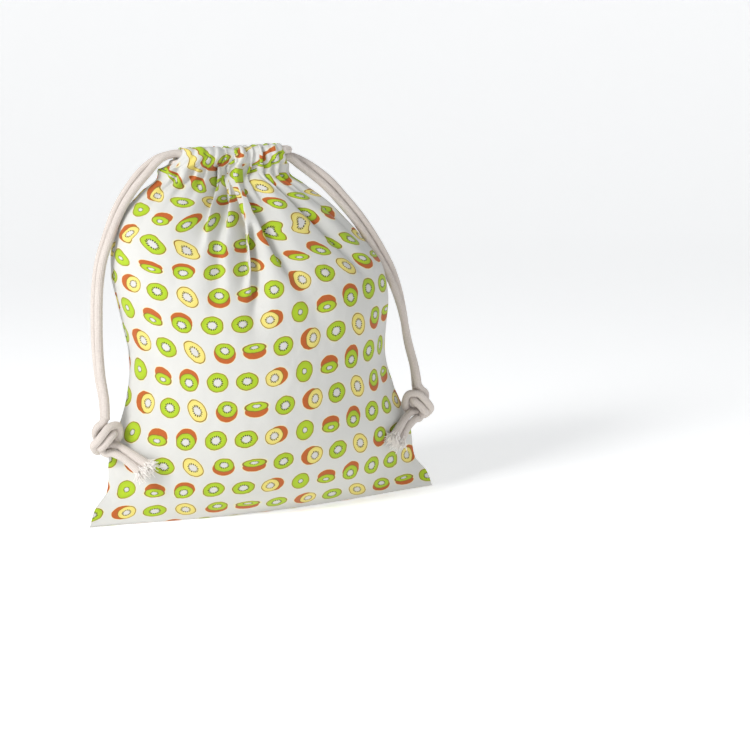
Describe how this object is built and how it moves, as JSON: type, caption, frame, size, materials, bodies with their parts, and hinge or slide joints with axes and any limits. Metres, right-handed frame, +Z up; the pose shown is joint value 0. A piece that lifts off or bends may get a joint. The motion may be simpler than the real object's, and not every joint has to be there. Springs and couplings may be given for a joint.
{
  "type": "drawstring shopping bag",
  "caption": "Cotton drawstring bag that stands filled out: two panels, a gathered cased neck, and two cords that leave its sides and end in knots.",
  "frame": {"origin": "on the floor, under the middle of the bottom seam", "axes": "+Z up, +X from the left lower corner to the right one seen from the front, -Y towards the front"},
  "size_m": [0.296, 0.1426, 0.2985],
  "materials": {
    "printed_cotton": "off-white plain-weave cotton with a small repeat of green and yellow fruit slices",
    "cotton_cord": "braided warm grey-beige cotton cord, matt"
  },
  "bodies": {
    "root": {"front_panel": "printed_cotton", "back_panel": "printed_cotton", "front_casing": "printed_cotton", "back_casing": "printed_cotton", "left_cord_neck_loop": "cotton_cord", "right_cord_neck_loop": "cotton_cord", "left_cord_front_strand": "cotton_cord", "left_cord_back_strand": "cotton_cord", "right_cord_front_strand": "cotton_cord", "right_cord_back_strand": "cotton_cord", "left_knot": "cotton_cord", "right_knot": "cotton_cord"}
  },
  "joints": []
}
